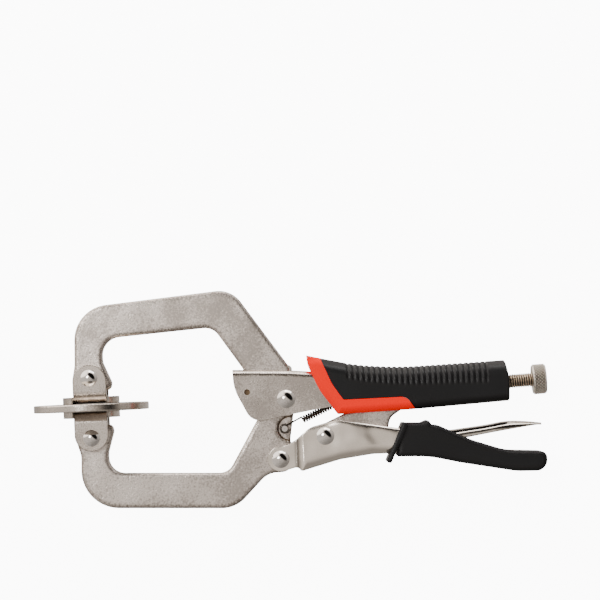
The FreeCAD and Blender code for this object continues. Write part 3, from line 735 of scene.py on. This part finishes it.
def turned(distance, radius, angle):
    """Points at distances along the screw's axis, at radii and angles round it."""
    spoke = np.cos(angle)[..., None] * side_one + np.sin(angle)[..., None] * side_two
    return screw_point + distance[..., None] * screw_along + radius[..., None] * spoke


def threaded_rod():
    """Radius = crest - depth x a flattened triangle wave of (distance / pitch - turn)."""
    outer = screw_high.z
    knob_start = (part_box("screw_knob")[0].x - screw_point[0]) / screw_along[0]
    begin = (screw_low.x - screw_point[0]) / screw_along[0]
    last = knob_start + 2 * MM
    thread_start = begin + NOSE_LENGTH
    u = np.arange(thread_start, last, PITCH / 14)
    v = np.linspace(0, 2 * math.pi, 56, endpoint=False)
    grid_u, grid_v = np.meshgrid(u, v, indexing="ij")
    phase = (grid_u / PITCH - grid_v / (2 * math.pi)) % 1
    wave = np.clip(np.abs(2 * phase - 1) * 1.25 - 0.12, 0, 1)
    fade = smooth(grid_u, thread_start, thread_start + PITCH)
    radius = outer - THREAD_DEPTH * wave * fade - 0.3 * MM * (1 - fade)
    body = turned(grid_u, radius, grid_v)
    nose_u = np.array([begin, begin, thread_start])[:, None] + 0 * v[None]
    nose_r = np.array([2.5, 2.9, 2.9])[:, None] * MM + 0 * v[None]
    nose_rows = turned(nose_u, nose_r, np.broadcast_to(v, nose_u.shape))
    points = np.concatenate([nose_rows, body])
    ends = [screw_point + screw_along * begin, screw_point + screw_along * u[-1]]
    # groove depth, kept for painted shade in the roots
    groove_shading = np.concatenate([np.zeros_like(nose_r), wave * fade])
    return surface("threaded_rod", points, thread_finish, "screw", "adjusting_screw",
                   wrap=True, caps=ends, root=groove_shading)


threaded_rod()

# %% [markdown]
# ## The knurled knob
# Two sets of slanted grooves cross on the rim and leave a diamond pattern. Each set is a
# sine of angle plus or minus distance, and the surface keeps the deeper of the two.

# %% Knob
KNURLS = 28
KNURL_DEPTH = 0.85 * MM
KNOB_CHAMFER = 0.9 * MM
FACE_SINK = 0.35 * MM        # how far the middle of each end face is sunk


def knurled_knob():
    """Radius = rim - depth x the deeper of two slanted grooves, faded at the ends."""
    radius_out = half_depth("screw_knob")
    knob_low, knob_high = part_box("screw_knob")
    middle = (centre("screw_knob")[0] - screw_point[0]) / screw_along[0]
    length = (knob_high.x - knob_low.x) - 2 * radius_out * abs(screw_along[1])
    u = np.linspace(-length / 2, length / 2, 61)
    v = np.linspace(0, 2 * math.pi, KNURLS * 10, endpoint=False)
    grid_u, grid_v = np.meshgrid(u, v, indexing="ij")
    turn = grid_u / (radius_out * 2 * math.pi / KNURLS) * math.pi
    one = np.abs(np.sin(KNURLS / 2 * grid_v + turn))
    two = np.abs(np.sin(KNURLS / 2 * grid_v - turn))
    groove = (1 - np.minimum(one, two)) ** 1.3
    chamfer = np.clip(np.abs(grid_u) - (length / 2 - KNOB_CHAMFER), 0, None)
    ends_fade = 1 - smooth(np.abs(grid_u), length / 2 - 1.2 * MM, length / 2 - 0.4 * MM)
    radius = radius_out - KNURL_DEPTH * groove * ends_fade - chamfer * 0.9
    rim = turned(middle + grid_u, radius, grid_v)
    inset = np.array([0.92, 0.62, 0.58, 0.2])[:, None]
    sink = np.array([0, 0, 1, 1])[:, None] * FACE_SINK
    face_r = inset * radius[0][None, :]
    near = turned(middle - length / 2 + sink + 0 * face_r, face_r, grid_v[:4])
    far = turned(middle + length / 2 - sink + 0 * face_r, face_r, grid_v[:4])
    points = np.concatenate([near[::-1], rim, far])
    poles = [screw_point + screw_along * (middle - length / 2 + FACE_SINK),
             screw_point + screw_along * (middle + length / 2 - FACE_SINK)]
    flat = np.zeros_like(face_r)
    # groove depth, kept for painted shade in the grooves
    groove_shading = np.concatenate([flat, groove * ends_fade, flat])
    return surface("knurled_knob", points, knurl_finish, "screw", "screw_knob", wrap=True,
                   caps=poles, sharp=50, root=groove_shading)


knurled_knob()

# %% [markdown]
# ## The pressed lever
# The lever is one strip of steel folded to a channel. Two ears at its front take the
# lever rivet; behind them the cheeks step outward so that the toggle link fits between
# them. The fold along its underside has a generous radius, which carries a long soft
# highlight. The section runs down one cheek, round the fold, across and up again; its
# faces in front of the floor's edge are left out, so that only the ears remain there.

# %% Lever
LEVER_SHEET = 2.3 * MM
EAR_ROUND = 6.9 * MM         # radius of the ears round the rivet
FLOOR_FRONT = 10.2 * MM      # where the channel's floor begins, behind the rivet
EAR_STEP = 2.2 * MM          # how much narrower each side is at the ears
TAIL_STEP = 1.0 * MM         # and inside the grip
EAR_FOLD, FOLD_GROWTH = 0.4 * MM, 4.6 * MM  # radius of the fold, and what it gains
PILLOW = 0.9 * MM            # how far the cheeks bulge


def from_lever(points):
    """Corners in millimetres from the lever pivot, as metres in the clamp's frame."""
    return np.array(points) * MM + lever_pivot[:2]


def pressed_lever():
    """Channel: eased top and bottom lines, a width that steps out, and a rounded fold."""
    b = lever_pivot
    x = np.concatenate([
        -EAR_ROUND * np.cos(np.linspace(0.06, math.pi / 2, 16)),
        np.linspace(0.5, 10, 20) * MM,
        np.linspace(10.2, 16, 24) * MM, np.linspace(17, 137, 90) * MM]) + b[0]
    low = eased(x, from_lever([(-20, -6.9), (1.5, -6.9), (8.6, -5.1), (11.4, -7.0),
                               (32.2, -1.6), (50.0, 0.6), (75.0, 0.4), (96.8, -3.6),
                               (118.9, -8.5), (137, -9.6), (150, -9.6)]), 1.0 * MM)
    top = eased(x, from_lever([(-20, 6.5), (1.0, 6.8), (7.5, 8.9), (16.5, 16.3),
                               (31.5, 19.9), (66.0, 13.6), (88.0, 11.2), (103.2, 4.0),
                               (122.8, -2.8), (137, -4.5), (150, -5)]), 2.5 * MM)
    round_ear = np.sqrt(np.clip(EAR_ROUND ** 2 - (x - b[0]) ** 2, 0, None))
    in_ear = x < b[0]
    low = np.where(in_ear, b[1] - round_ear, low)
    top = np.where(in_ear, b[1] + round_ear, top)
    u = x - b[0]
    wide = half_depth("lever_handle")
    half = wide - EAR_STEP * (1 - smooth(u, 8.4 * MM, 12.8 * MM))
    half = half - TAIL_STEP * smooth(u, 60 * MM, 70 * MM)
    fold = EAR_FOLD + FOLD_GROWTH * smooth(u, FLOOR_FRONT, FLOOR_FRONT + 5 * MM)
    fold = np.minimum(fold, (top - low) * 0.45)
    cheek = np.linspace(0, 1, 13)[:-1]
    arc = np.linspace(0, math.pi / 2, 9)
    under = np.linspace(0, 1, 9)[1:]
    y_cheek = top[:, None] + (low + fold - top)[:, None] * cheek
    pillow = PILLOW * smooth(u, 12 * MM, 20 * MM) * (1 - smooth(u, 92 * MM, 110 * MM))
    z_cheek = half[:, None] - pillow[:, None] * (1 - cheek ** 0.5) ** 2
    y_arc = (low + fold)[:, None] - fold[:, None] * np.sin(arc)
    z_arc = (half - fold)[:, None] + fold[:, None] * np.cos(arc)
    z_under = (half - fold)[:, None] * (1 - under)
    y_under = low[:, None] + 0 * z_under
    y = np.concatenate([y_cheek, y_arc, y_under], axis=1)
    z = np.concatenate([z_cheek, z_arc, z_under], axis=1)
    y = np.concatenate([y, y[:, -2::-1]], axis=1)
    z = np.concatenate([z, -z[:, -2::-1]], axis=1)
    points = np.stack([x[:, None] + 0 * y, y, z], axis=-1)
    columns = y.shape[1] - 1
    column = np.arange(columns)
    on_floor = (column >= 12) & (column < columns - 12)
    keep = ~(on_floor[None, :] & (u[:-1] < FLOOR_FRONT - 0.01 * MM)[:, None])
    piece = surface("pressed_lever", points, lever_plate, "lever", "lever_handle",
                    keep=keep, sharp=60)
    skin = piece.modifiers.new("sheet", "SOLIDIFY")
    skin.thickness = LEVER_SHEET
    skin.offset = -1
    edge = piece.modifiers.new("deburred edge", "BEVEL")
    edge.width = 0.35 * MM
    edge.segments = 2
    edge.limit_method = "ANGLE"
    edge.angle_limit = math.radians(50)
    return piece


pressed_lever()

# %% [markdown]
# ## The release lever
# A narrow blade pressed from thin bright sheet. Its section is an arch, open below, so
# the top catches the light and the hollow under it stays dark.

# %% Release lever
BLADE_SHEET = 0.9 * MM
release_pivot = centre("release_pin")


def release_blade():
    """Arch: height = bottom + (top - bottom) x sine of the angle across the blade."""
    at = release_pivot[:2]
    x = at[0] + np.linspace(-14.0, 66.0, 110) * MM
    top = eased(x, np.array([(-20, 3.0), (-2.0, 3.3), (14.0, 3.0), (36.0, 5.2),
                             (47.0, 7.0), (59.0, 6.2), (66.2, 5.0), (75, 4.0)]) * MM + at,
                5 * MM)
    low = eased(x, np.array([(-20, -1.6), (-4.0, -3.6), (8.0, -3.9), (23.4, -1.4),
                             (43.7, 1.6), (54.6, 3.0), (66.0, 4.3), (75, 4.4)]) * MM + at,
                4 * MM)
    half = half_depth("release_lever") * (1 - 0.35 * smooth(x - at[0], 40 * MM, 66 * MM))
    angle = np.linspace(math.pi, 0, 41)
    rise = np.sin(angle) ** 0.7
    y = low[:, None] + (top - low)[:, None] * rise
    z = half[:, None] * np.cos(angle)
    points = np.stack([x[:, None] + 0 * y, y, z], axis=-1)
    piece = surface("release_blade", points, bright, "release", "release_lever")
    skin = piece.modifiers.new("sheet", "SOLIDIFY")
    skin.thickness = BLADE_SHEET
    skin.offset = -1
    return piece


release_blade()

# %% [markdown]
# ## The return spring
# A close coil of thin wire, with a hook at each end round the post in the moving jaw and
# the pin in the handle. The wire's middle line is a straight lead, a helix and another
# lead; a thin tube follows it.


# %% Spring
WIRE = 0.50 * MM             # radius of the wire, and of the coil's middle line
COIL = 1.58 * MM
TURNS = 24
COIL_START, COIL_SHARE = 0.20, 0.64         # shares of the way from post to pin
HOOK_GAP = 0.12 * MM
POST_ROUND, PIN_ROUND = 1.6 * MM, 1.5 * MM


def tube(line, radius, sides):
    """Rings of points round a line; each ring's frame is set from the line's direction and the Z axis."""
    ahead = np.gradient(line, axis=0)
    ahead /= np.linalg.norm(ahead, axis=1)[:, None]
    flat = np.array([0.0, 0.0, 1.0]) - ahead * ahead[:, 2:3]
    weak = np.linalg.norm(flat, axis=1) < 0.3
    flat[weak] = np.cross(ahead[weak], np.array([0.3, 0.9, 0.1]))
    flat /= np.linalg.norm(flat, axis=1)[:, None]
    third = np.cross(ahead, flat)
    angle = np.linspace(0, 2 * math.pi, sides, endpoint=False)[None, :, None]
    return line[:, None] + radius * (np.cos(angle) * flat[:, None]
                                     + np.sin(angle) * third[:, None])


def wire_spring():
    """Helix: radius x (cos, sin) of the turn, with leads to hooks round post and pin."""
    post = centre("spring_post")
    post[2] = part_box("spring_post")[1].z - 1.2 * MM
    pin = centre("spring_anchor_pin")
    pin[2] = 0.0
    run = pin - np.array([post[0], post[1], 0.0])
    span = np.linalg.norm(run)
    run = run / span
    side = np.array([-run[1], run[0], 0.0])
    up = np.array([0.0, 0.0, 1.0])
    base = np.array([post[0], post[1], 0.0])
    t = np.linspace(0, TURNS * 2 * math.pi, TURNS * 22)
    share = t / t[-1]
    helix = (base + run * (span * (COIL_START + COIL_SHARE * share))[:, None]
             + COIL * (np.cos(t)[:, None] * side + np.sin(t)[:, None] * up))
    loop = np.linspace(-2.6, 2.6, 26)
    hook_r = POST_ROUND + WIRE + HOOK_GAP
    post_hook = post - hook_r * (np.cos(loop[::-1])[:, None] * run
                                 + np.sin(loop[::-1])[:, None] * side)
    pin_r = PIN_ROUND + WIRE + HOOK_GAP
    pin_hook = pin + pin_r * (np.cos(loop)[:, None] * run + np.sin(loop)[:, None] * side)
    lead = np.linspace(0, 1, 14)[1:-1, None]
    lead_in = post_hook[-1] * (1 - lead) + helix[0] * lead
    lead_out = helix[-1] * (1 - lead) + pin_hook[0] * lead
    line = np.concatenate([post_hook, lead_in, helix, lead_out, pin_hook])
    points = tube(line, WIRE, 10)
    piece = surface("wire_spring", points, wire_finish, None, "return_spring", wrap=True,
                    caps=(line[0], line[-1]), sharp=60)
    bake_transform(piece)
    return piece


wire_spring()
